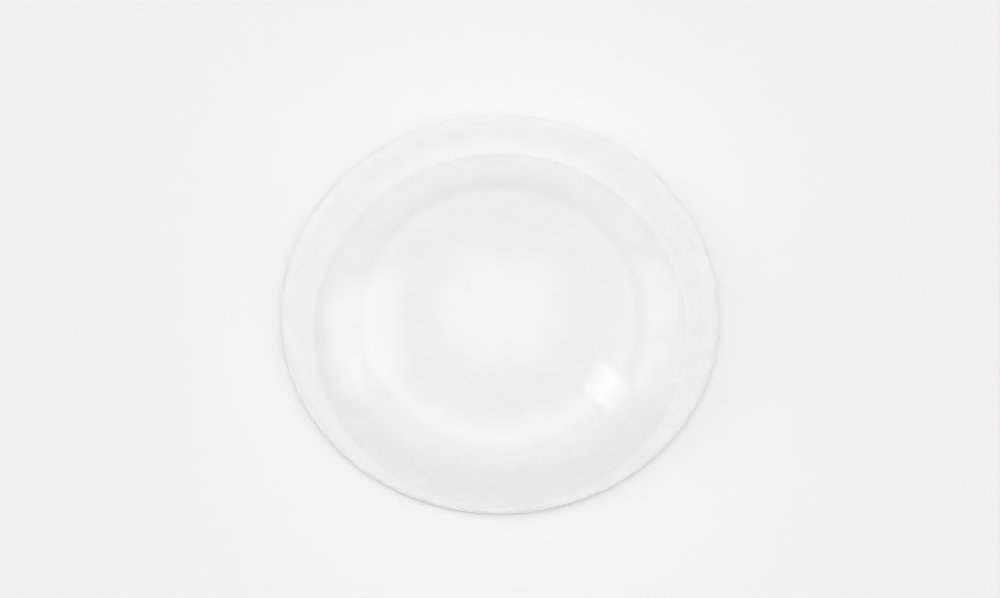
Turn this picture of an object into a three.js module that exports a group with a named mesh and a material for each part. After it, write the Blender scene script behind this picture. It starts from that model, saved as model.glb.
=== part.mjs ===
// Clear self-adhesive cabinet door bumper: a low dome of soft, clear polyurethane on a thin
// round pad of clear adhesive. The pad sticks to the inside of a door, and the dome's crown
// meets the cabinet when the door shuts.
//
// Millimetres, +Z up. The origin is the centre of the adhesive's lower face, so the bumper
// stands on the XY plane as it sits on the surface that it is stuck to.

import * as THREE from 'three';

// Sizes of the moulded dome
const bumperDiameter = 10;
const bumperHeight = 3;
const rimBandHeight = 0.22;
const rimDraft = 0.03;
const rimRoundRadius = 0.12;

// Sizes of the adhesive pad
const adhesiveThickness = 0.1;
const adhesiveInset = 0.08;

// Fineness of the turned surfaces
const turnSegments = 96;
const domeSteps = 11;
const rimRoundSteps = 3;

// The centre and radius of the circle that carries the dome: it passes through the crown and
// through the top of the rim band.
function domeCircle(bandTopRadius, bandTopHeight) {
  const rise = bumperHeight - bandTopHeight;
  const radius = (bandTopRadius ** 2 + rise ** 2) / (2 * rise);
  return { radius, centreHeight: bumperHeight - radius };
}

// The small circle that rounds the corner between the upright band and the dome. It touches
// the band's line from inside and the dome's circle from inside.
function rimRoundCircle(dome, bandTopRadius) {
  const centreRadius = bandTopRadius - rimRoundRadius;
  const reach = dome.radius - rimRoundRadius;
  const centreHeight = dome.centreHeight + Math.sqrt(reach ** 2 - centreRadius ** 2);
  return { centreRadius, centreHeight };
}

// A LatheGeometry profile has to meet the axis exactly at both of its ends.
function closedOnAxis(points) {
  points[0].x = 0;
  points[points.length - 1].x = 0;
  return points;
}

// Half section of the dome: flat underside, upright band with a little draft, rounded
// corner, and the arc up to the crown.
function domeProfile() {
  const underside = adhesiveThickness;
  const baseRadius = bumperDiameter / 2;
  const bandTopRadius = baseRadius - rimDraft;
  const dome = domeCircle(bandTopRadius, underside + rimBandHeight);
  const round = rimRoundCircle(dome, bandTopRadius);
  const joinAngle = Math.atan2(round.centreHeight - dome.centreHeight, round.centreRadius);

  const rim = new THREE.Path();
  rim.moveTo(0, underside);
  rim.lineTo(baseRadius, underside);
  rim.absarc(round.centreRadius, round.centreHeight, rimRoundRadius, 0, joinAngle, false);

  const crown = new THREE.Path();
  crown.absarc(0, dome.centreHeight, dome.radius, joinAngle, Math.PI / 2, false);

  const rimPoints = rim.getPoints(rimRoundSteps);
  const crownPoints = crown.getPoints(domeSteps).slice(1);
  return closedOnAxis([...rimPoints, ...crownPoints]);
}

// Half section of the adhesive: a flat disc that ends just inside the dome's edge.
function adhesiveProfile() {
  const padRadius = bumperDiameter / 2 - adhesiveInset;
  return closedOnAxis([
    new THREE.Vector2(0, 0),
    new THREE.Vector2(padRadius, 0),
    new THREE.Vector2(padRadius, adhesiveThickness),
    new THREE.Vector2(0, adhesiveThickness),
  ]);
}

// LatheGeometry turns its profile about Y, so the turned body is stood up on +Z.
function turned(profile) {
  const geometry = new THREE.LatheGeometry(profile, turnSegments);
  geometry.rotateX(Math.PI / 2);
  return geometry;
}

function clearPolyurethane() {
  return new THREE.MeshStandardMaterial({
    color: 0xf4f7f4,
    roughness: 0.08,
    metalness: 0,
    transparent: true,
    opacity: 0.35,
  });
}

function clearAdhesive() {
  return new THREE.MeshStandardMaterial({
    color: 0xf2f3ee,
    roughness: 0.3,
    metalness: 0,
    transparent: true,
    opacity: 0.3,
  });
}

function bumperDome() {
  const mesh = new THREE.Mesh(turned(domeProfile()), clearPolyurethane());
  mesh.name = 'bumper_dome';
  return mesh;
}

function adhesivePad() {
  const mesh = new THREE.Mesh(turned(adhesiveProfile()), clearAdhesive());
  mesh.name = 'adhesive_pad';
  return mesh;
}

const cabinetDoorBumper = new THREE.Group();
cabinetDoorBumper.name = 'cabinet_door_bumper';
cabinetDoorBumper.add(bumperDome(), adhesivePad());

export default cabinetDoorBumper;
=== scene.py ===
"""Looks of a clear self-adhesive cabinet door bumper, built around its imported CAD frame.

Metres, +Z up. The bumper stands with the lower face of its adhesive at z = 0, centred on the
origin. The camera looks along +Y and steeply down.
"""

import math

import bmesh
import bpy
from mathutils import Matrix, Vector, noise


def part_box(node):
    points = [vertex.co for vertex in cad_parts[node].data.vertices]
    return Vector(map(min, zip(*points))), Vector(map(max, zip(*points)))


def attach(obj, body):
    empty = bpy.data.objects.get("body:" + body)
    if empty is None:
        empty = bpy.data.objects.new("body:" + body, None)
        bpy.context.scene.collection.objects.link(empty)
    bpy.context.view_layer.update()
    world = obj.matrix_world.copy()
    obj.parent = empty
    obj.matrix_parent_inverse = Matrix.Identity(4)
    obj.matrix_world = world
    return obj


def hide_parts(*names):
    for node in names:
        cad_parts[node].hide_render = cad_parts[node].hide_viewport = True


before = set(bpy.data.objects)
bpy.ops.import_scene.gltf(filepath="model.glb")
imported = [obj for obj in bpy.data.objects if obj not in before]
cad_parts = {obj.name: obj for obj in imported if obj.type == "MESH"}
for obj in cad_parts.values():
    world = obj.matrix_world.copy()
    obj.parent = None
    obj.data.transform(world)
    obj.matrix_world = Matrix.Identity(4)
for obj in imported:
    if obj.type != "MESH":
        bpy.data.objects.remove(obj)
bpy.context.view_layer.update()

MM = 0.001

# Form of the dome
RIM_BAND_HEIGHT = 0.22 * MM
RIM_DRAFT = 0.03 * MM
RIM_ROUND_RADIUS = 0.12 * MM
LOWER_EDGE_RADIUS = 0.03 * MM
DOME_SEGMENTS = 288
DOME_RINGS = 110
LOWER_EDGE_STEPS = 5
RIM_ROUND_STEPS = 10

# Form of the adhesive pad. It reaches a hair into the dome, so that no film of air parts them.
PAD_EDGE_BULGE = 0.012 * MM
WETTED_OVERLAP = 0.004 * MM
PAD_SEGMENTS = 288
PAD_RINGS = 24
PAD_EDGE_STEPS = 6

# How far the surfaces wander from a true turned form, and the breadth of the waves
DOME_WANDER = 0.006 * MM
DOME_WAVE = 4.5 * MM
PAD_EDGE_WANDER = 0.022 * MM
PAD_EDGE_WAVE = 2.2 * MM

# A face counts as level within this height and this slope of its normal
LEVEL_TOLERANCE = 0.001 * MM
LEVEL_NORMAL = 0.999

# Materials. The dome's index of refraction was tuned to the photo and is high for polyurethane,
# where 1.50 is usual. Noise scales are per metre.
DOME_COLOUR = (0.997, 0.998, 0.996, 1.0)
DOME_IOR = 1.54
DOME_ROUGHNESS = (0.004, 0.02)
SMEAR_SCALE = 900.0
SMEAR_DETAIL = 4.0
SMEAR_RANGE = (0.35, 0.75)
RIPPLE_SCALE = 1400.0
RIPPLE_DETAIL = 2.0
RIPPLE_STRENGTH = 0.05
RIPPLE_HEIGHT = 0.04 * MM
ADHESIVE_COLOUR = (0.98, 0.98, 0.976, 1.0)
ADHESIVE_IOR = 1.47
ADHESIVE_ROUGHNESS = (0.1, 0.28)
MOTTLE_SCALE = 1600.0
MOTTLE_DETAIL = 5.0
MOTTLE_RANGE = (0.3, 0.7)
VEIL_COLOUR = (0.95, 0.95, 0.94, 1.0)
ADHESIVE_VEIL = (0.01, 0.05)

# Floor: level in the middle, with an edge that curves up to stand behind low views. Its level
# part lies a hair inside the adhesive. The disc under the adhesive has a whiter colour, painted
# light that stands in for the light the dome holds back, set so that the middle of the bumper
# is as bright as in the photo.
FLOOR_RADIUS = 0.45
COVE_RADIUS = 0.015
COVE_STEPS = 16
FLOOR_SEGMENTS = 192
FLOOR_INNER_RINGS = (0.02, 0.1)
FLOOR_HEIGHT = 0.02 * MM
FLOOR_COLOUR = (0.785, 0.785, 0.779, 1.0)
# Painted light: the floor under the adhesive is whiter than the rest of the floor.
PAINTED_LIGHT_FLOOR_COLOUR = (0.938, 0.938, 0.935, 1.0)
FLOOR_ROUGHNESS = 0.6
FLOOR_SHEEN = 0.2

# Camera: a long lens at the steep angle that the bumper is seen from
CAMERA_ELEVATION = math.radians(64.0)
CAMERA_DISTANCE = 0.23
CAMERA_LENS = 365.0
CAMERA_TARGET = (0.0, 0.0, 0.0009)

# Lights: softboxes on the left and the right, and a room that is dark at eye level and bright
# overhead. Azimuths run from +X towards +Y. Angles are in degrees, and under a room that is all
# at level 1 the floor would show its own colour. Places, sizes and levels were tuned to the
# photo, so they are one of several rooms that would do.
SOFTBOX_DISTANCE = 0.35
SOFTBOXES = [
    # name, azimuth, elevation, width, height, radiance
    ("left_softbox", 177, 28, 0.33, 0.26, 1.13),
    ("right_panel", 6, 13, 0.40, 0.17, 0.79),
    ("right_softbox", -27, 33, 0.10, 0.13, 1.77),
]
SOFTBOX_EDGE = 0.24
ROOM_COLOUR = (1.0, 1.0, 0.995, 1.0)
ROOM_BANDS = [
    # from elevation, to elevation, rise in level
    (26, 33, 1.12),
    (54, 76, 0.73),
]
ROOM_TILT = 3


def new_object(name, data):
    """An object in the scene that carries a mesh, a lamp or a camera."""
    made = bpy.data.objects.new(name, data)
    bpy.context.scene.collection.objects.link(made)
    return made


def arc(centre_r, centre_z, radius, start, end, steps):
    """Points (r, z) along an arc, both ends included."""
    return [
        (
            centre_r + radius * math.cos(start + (end - start) * i / steps),
            centre_z + radius * math.sin(start + (end - start) * i / steps),
        )
        for i in range(steps + 1)
    ]


def dome_profile(radius, base, crown, pad_radius):
    """Half section of the dome from the middle of its underside to its crown, as (r, z)."""
    band_top = base + RIM_BAND_HEIGHT
    band_top_radius = radius - RIM_DRAFT
    rise = crown - band_top
    sphere = (band_top_radius**2 + rise**2) / (2 * rise)
    sphere_z = crown - sphere
    round_r = band_top_radius - RIM_ROUND_RADIUS
    round_z = sphere_z + math.sqrt((sphere - RIM_ROUND_RADIUS) ** 2 - round_r**2)
    join = math.atan2(round_z - sphere_z, round_r)
    edge = LOWER_EDGE_RADIUS
    under = [(pad_radius * i / PAD_RINGS, base) for i in range(PAD_RINGS + 1)]
    lower = arc(radius - edge, base + edge, edge, -math.pi / 2, 0, LOWER_EDGE_STEPS)
    upper = arc(round_r, round_z, RIM_ROUND_RADIUS, 0, join, RIM_ROUND_STEPS)
    crown_arc = arc(0, sphere_z, sphere, join, math.pi / 2, DOME_RINGS)
    return under + lower + upper + crown_arc[1:]


def pad_profile(radius, thickness):
    """Half section of the adhesive pad, as (r, z): flat, with a softly bulging edge."""
    under = [(radius * i / PAD_RINGS, 0.0) for i in range(PAD_RINGS + 1)]
    shares = [t / PAD_EDGE_STEPS for t in range(1, PAD_EDGE_STEPS)]
    edge = [(radius + PAD_EDGE_BULGE * math.sin(math.pi * t), thickness * t) for t in shares]
    top = [(radius * i / PAD_RINGS, thickness) for i in range(PAD_RINGS, -1, -1)]
    return under + edge + top


def lathe(name, profile, segments):
    """A closed turned mesh about Z. The profile starts and ends on the axis."""
    mesh = bpy.data.meshes.new(name)
    bm = bmesh.new()
    bottom = bm.verts.new((0, 0, profile[0][1]))
    top = bm.verts.new((0, 0, profile[-1][1]))
    rings = [
        [
            bm.verts.new(
                (
                    r * math.cos(2 * math.pi * s / segments),
                    r * math.sin(2 * math.pi * s / segments),
                    z,
                )
            )
            for s in range(segments)
        ]
        for r, z in profile[1:-1]
    ]
    for s in range(segments):
        t = (s + 1) % segments
        bm.faces.new((bottom, rings[0][t], rings[0][s]))
        bm.faces.new((top, rings[-1][s], rings[-1][t]))
        for low, high in zip(rings, rings[1:]):
            bm.faces.new((low[s], low[t], high[t], high[s]))
    bm.to_mesh(mesh)
    bm.free()
    for face in mesh.polygons:
        face.use_smooth = True
    return mesh


def wet(mesh, height, radius):
    """Gives the level faces at `height` within `radius` the mesh's second material."""
    for face in mesh.polygons:
        at_height = abs(face.center.z - height) < LEVEL_TOLERANCE
        level = abs(face.normal.z) > LEVEL_NORMAL
        if at_height and level and face.center.xy.length < radius:
            face.material_index = 1


def wander(mesh, reach, wave):
    """Moves points along their own radius by slow noise, as a cast surface wanders."""
    for vertex in mesh.vertices:
        place = vertex.co
        out = Vector((place.x, place.y, 0))
        if out.length > 0:
            slow = noise.noise(place / wave)
            vertex.co = place + out.normalized() * reach * slow


def node_material(name):
    """A new material, with its nodes, its links and its shader."""
    material = bpy.data.materials.new(name)
    material.use_nodes = True
    nodes = material.node_tree.nodes
    return material, nodes, material.node_tree.links, nodes["Principled BSDF"]


def add(nodes, kind, **values):
    """A shader node with its properties, and its inputs given by name in `inputs`."""
    made = nodes.new(kind)
    inputs = values.pop("inputs", {})
    for key, value in values.items():
        setattr(made, key, value)
    for socket, value in inputs.items():
        made.inputs[socket].default_value = value
    return made


def noise_between(nodes, links, scale, detail, noise_range, value_range):
    """Noise in object space, mapped from the first range of levels onto the second."""
    place = add(nodes, "ShaderNodeTexCoord")
    cloud = add(nodes, "ShaderNodeTexNoise", inputs={"Scale": scale, "Detail": detail})
    levels = add(
        nodes,
        "ShaderNodeMapRange",
        inputs={
            "From Min": noise_range[0],
            "From Max": noise_range[1],
            "To Min": value_range[0],
            "To Max": value_range[1],
        },
    )
    links.new(place.outputs["Object"], cloud.inputs["Vector"])
    links.new(cloud.outputs["Fac"], levels.inputs["Value"])
    return levels.outputs["Result"]


def clear_polyurethane():
    """Clear casting resin: faint smears in its gloss and a faint ripple in its surface."""
    material, nodes, links, shader = node_material("clear_polyurethane")
    shader.inputs["Base Color"].default_value = DOME_COLOUR
    shader.inputs["Transmission Weight"].default_value = 1.0
    shader.inputs["IOR"].default_value = DOME_IOR
    gloss = noise_between(
        nodes, links, SMEAR_SCALE, SMEAR_DETAIL, SMEAR_RANGE, DOME_ROUGHNESS
    )
    links.new(gloss, shader.inputs["Roughness"])
    place = add(nodes, "ShaderNodeTexCoord")
    ripple = add(
        nodes,
        "ShaderNodeTexNoise",
        inputs={"Scale": RIPPLE_SCALE, "Detail": RIPPLE_DETAIL},
    )
    bump = add(
        nodes,
        "ShaderNodeBump",
        inputs={"Strength": RIPPLE_STRENGTH, "Distance": RIPPLE_HEIGHT},
    )
    links.new(place.outputs["Object"], ripple.inputs["Vector"])
    links.new(ripple.outputs["Fac"], bump.inputs["Height"])
    links.new(bump.outputs["Normal"], shader.inputs["Normal"])
    return material


def clear_adhesive():
    """Clear adhesive with a mottled haze."""
    material, nodes, links, shader = node_material("clear_adhesive")
    shader.inputs["Base Color"].default_value = ADHESIVE_COLOUR
    shader.inputs["Transmission Weight"].default_value = 1.0
    shader.inputs["IOR"].default_value = ADHESIVE_IOR
    haze = noise_between(
        nodes, links, MOTTLE_SCALE, MOTTLE_DETAIL, MOTTLE_RANGE, ADHESIVE_ROUGHNESS
    )
    links.new(haze, shader.inputs["Roughness"])
    return material


def wetted(name, veil=None):
    """Where two clear materials wet each other, nothing shows, or only a faint mottled veil."""
    material, nodes, links, shader = node_material(name)
    shader.inputs["Base Color"].default_value = VEIL_COLOUR
    shader.inputs["Roughness"].default_value = 1.0
    shader.inputs["Specular IOR Level"].default_value = 0.0
    shader.inputs["Alpha"].default_value = 0.0
    if veil is not None:
        alpha = noise_between(nodes, links, MOTTLE_SCALE, MOTTLE_DETAIL, MOTTLE_RANGE, veil)
        links.new(alpha, shader.inputs["Alpha"])
    return material


def floor_material(name, colour):
    """Plain pale paint for the floor, with a slight sheen."""
    material, _, _, shader = node_material(name)
    shader.inputs["Base Color"].default_value = colour
    shader.inputs["Roughness"].default_value = FLOOR_ROUGHNESS
    shader.inputs["Specular IOR Level"].default_value = FLOOR_SHEEN
    return material


def make_dome():
    """The cast dome, with the solid's own ball crown."""
    low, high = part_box("bumper_dome")
    pad_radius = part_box("adhesive_pad")[1].x
    profile = dome_profile((high.x - low.x) / 2, low.z, high.z, pad_radius)
    mesh = lathe("polyurethane_dome", profile, DOME_SEGMENTS)
    wet(mesh, low.z, pad_radius)
    wander(mesh, DOME_WANDER, DOME_WAVE)
    piece = new_object("polyurethane_dome", mesh)
    mesh.materials.append(clear_polyurethane())
    mesh.materials.append(wetted("wetted_underside"))
    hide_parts("bumper_dome")
    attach(piece, "root")


def make_pad():
    """The adhesive disc under the dome."""
    low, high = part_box("adhesive_pad")
    profile = pad_profile((high.x - low.x) / 2, high.z + WETTED_OVERLAP)
    mesh = lathe("adhesive_disc", profile, PAD_SEGMENTS)
    wet(mesh, high.z + WETTED_OVERLAP, high.x)
    wander(mesh, PAD_EDGE_WANDER, PAD_EDGE_WAVE)
    piece = new_object("adhesive_disc", mesh)
    mesh.materials.append(clear_adhesive())
    mesh.materials.append(wetted("wetted_adhesive", ADHESIVE_VEIL))
    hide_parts("adhesive_pad")
    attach(piece, "root")


def make_floor():
    """One sheet of rings: a whiter disc of painted light under the adhesive, pale around it,
    and the cove at its edge.
    """
    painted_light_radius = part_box("adhesive_pad")[1].x
    level = FLOOR_HEIGHT
    cove = arc(FLOOR_RADIUS, level + COVE_RADIUS, COVE_RADIUS, -math.pi / 2, 0, COVE_STEPS)
    mesh = bpy.data.meshes.new("floor")
    bm = bmesh.new()
    rings = [
        bmesh.ops.create_circle(
            bm, segments=FLOOR_SEGMENTS, radius=r, matrix=Matrix.Translation((0, 0, z))
        )["verts"]
        for r, z in [(r, level) for r in (painted_light_radius, *FLOOR_INNER_RINGS)] + cove
    ]
    # The middle disc takes the second material, painted light: a whiter floor under the
    # adhesive.
    bm.faces.new(rings[0]).material_index = 1
    for inner, outer in zip(rings, rings[1:]):
        for s in range(len(inner)):
            t = (s + 1) % len(inner)
            bm.faces.new((inner[s], outer[s], outer[t], inner[t])).smooth = True
    bm.to_mesh(mesh)
    bm.free()
    floor = new_object("floor", mesh)
    mesh.materials.append(floor_material("pale_floor", FLOOR_COLOUR))
    # The second material is painted light, the whiter floor under the adhesive.
    mesh.materials.append(floor_material("painted_light_floor", PAINTED_LIGHT_FLOOR_COLOUR))


def aimed(obj, place, target):
    """Puts a lamp or camera at a place and points it at a target."""
    obj.location = place
    obj.rotation_mode = "QUATERNION"
    obj.rotation_quaternion = (Vector(target) - Vector(place)).to_track_quat("-Z", "Y")


def direction(azimuth, elevation):
    """Unit vector. Azimuth is in degrees from +X towards +Y, elevation in degrees up."""
    a, e = math.radians(azimuth), math.radians(elevation)
    return Vector((math.cos(a) * math.cos(e), math.sin(a) * math.cos(e), math.sin(e)))


def fade_edges(lamp):
    """A softbox is dimmer towards the seams of its cloth."""
    lamp.use_nodes = True
    nodes, links = lamp.node_tree.nodes, lamp.node_tree.links
    place = add(nodes, "ShaderNodeNewGeometry")
    parts = add(nodes, "ShaderNodeSeparateXYZ")
    links.new(place.outputs["Parametric"], parts.inputs["Vector"])
    level = add(nodes, "ShaderNodeMath", operation="MULTIPLY")
    for i, axis in enumerate("XY"):
        inset = add(nodes, "ShaderNodeMath", operation="PINGPONG", inputs={1: 0.5})
        rise = add(
            nodes,
            "ShaderNodeMapRange",
            interpolation_type="SMOOTHSTEP",
            inputs={"From Min": -SOFTBOX_EDGE / 3, "From Max": SOFTBOX_EDGE},
        )
        links.new(parts.outputs[axis], inset.inputs[0])
        links.new(inset.outputs[0], rise.inputs["Value"])
        links.new(rise.outputs["Result"], level.inputs[i])
    links.new(level.outputs[0], nodes["Emission"].inputs["Strength"])


def softbox(name, azimuth, elevation, width, height, radiance):
    """A rectangular area lamp that faces the origin."""
    lamp = bpy.data.lights.new(name, "AREA")
    lamp.shape = "RECTANGLE"
    lamp.size, lamp.size_y = width, height
    lamp.energy = radiance * math.pi * lamp.size * lamp.size_y
    fade_edges(lamp)
    obj = new_object(name, lamp)
    aimed(obj, direction(azimuth, elevation) * SOFTBOX_DISTANCE, (0, 0, 0))


def make_room():
    """The world: its level rises with elevation in two soft steps, tilted a little."""
    world = bpy.data.worlds.new("room")
    world.use_nodes = True
    nodes, links = world.node_tree.nodes, world.node_tree.links
    background = nodes["Background"]
    background.inputs["Color"].default_value = ROOM_COLOUR
    place = add(nodes, "ShaderNodeTexCoord")
    parts = add(nodes, "ShaderNodeSeparateXYZ")
    tilt = add(nodes, "ShaderNodeMapping", vector_type="VECTOR")
    tilt.inputs["Rotation"].default_value = (math.radians(ROOM_TILT), 0, 0)
    links.new(place.outputs["Generated"], tilt.inputs["Vector"])
    links.new(tilt.outputs["Vector"], parts.inputs["Vector"])
    total = add(nodes, "ShaderNodeMath", operation="ADD")
    for i, (start, end, rise) in enumerate(ROOM_BANDS):
        level = add(
            nodes,
            "ShaderNodeMapRange",
            interpolation_type="SMOOTHSTEP",
            inputs={
                "From Min": math.sin(math.radians(start)),
                "From Max": math.sin(math.radians(end)),
                "To Min": 0.0,
                "To Max": rise,
            },
        )
        links.new(parts.outputs["Z"], level.inputs["Value"])
        links.new(level.outputs["Result"], total.inputs[i])
    links.new(total.outputs[0], background.inputs["Strength"])
    bpy.context.scene.world = world


def let_light_through():
    """Light crosses clear plastic many times, so its paths are long and its gloss unblurred."""
    cycles = bpy.context.scene.cycles
    cycles.blur_glossy = 0.0
    cycles.max_bounces = 64
    cycles.diffuse_bounces = 24
    cycles.glossy_bounces = 32
    cycles.transmission_bounces = 64
    cycles.transparent_max_bounces = 128


def make_camera():
    """A long lens that looks along +Y and down at the bumper."""
    camera = bpy.data.cameras.new("camera")
    camera.lens = CAMERA_LENS
    camera.clip_start, camera.clip_end = 0.01, 10
    obj = new_object("camera", camera)
    back = Vector((0, -math.cos(CAMERA_ELEVATION), math.sin(CAMERA_ELEVATION)))
    aimed(obj, Vector(CAMERA_TARGET) + back * CAMERA_DISTANCE, CAMERA_TARGET)
    bpy.context.scene.camera = obj


make_dome()
make_pad()
make_floor()
for box in SOFTBOXES:
    softbox(*box)
make_room()
make_camera()
let_light_through()
bpy.context.scene.view_settings.view_transform = "Standard"
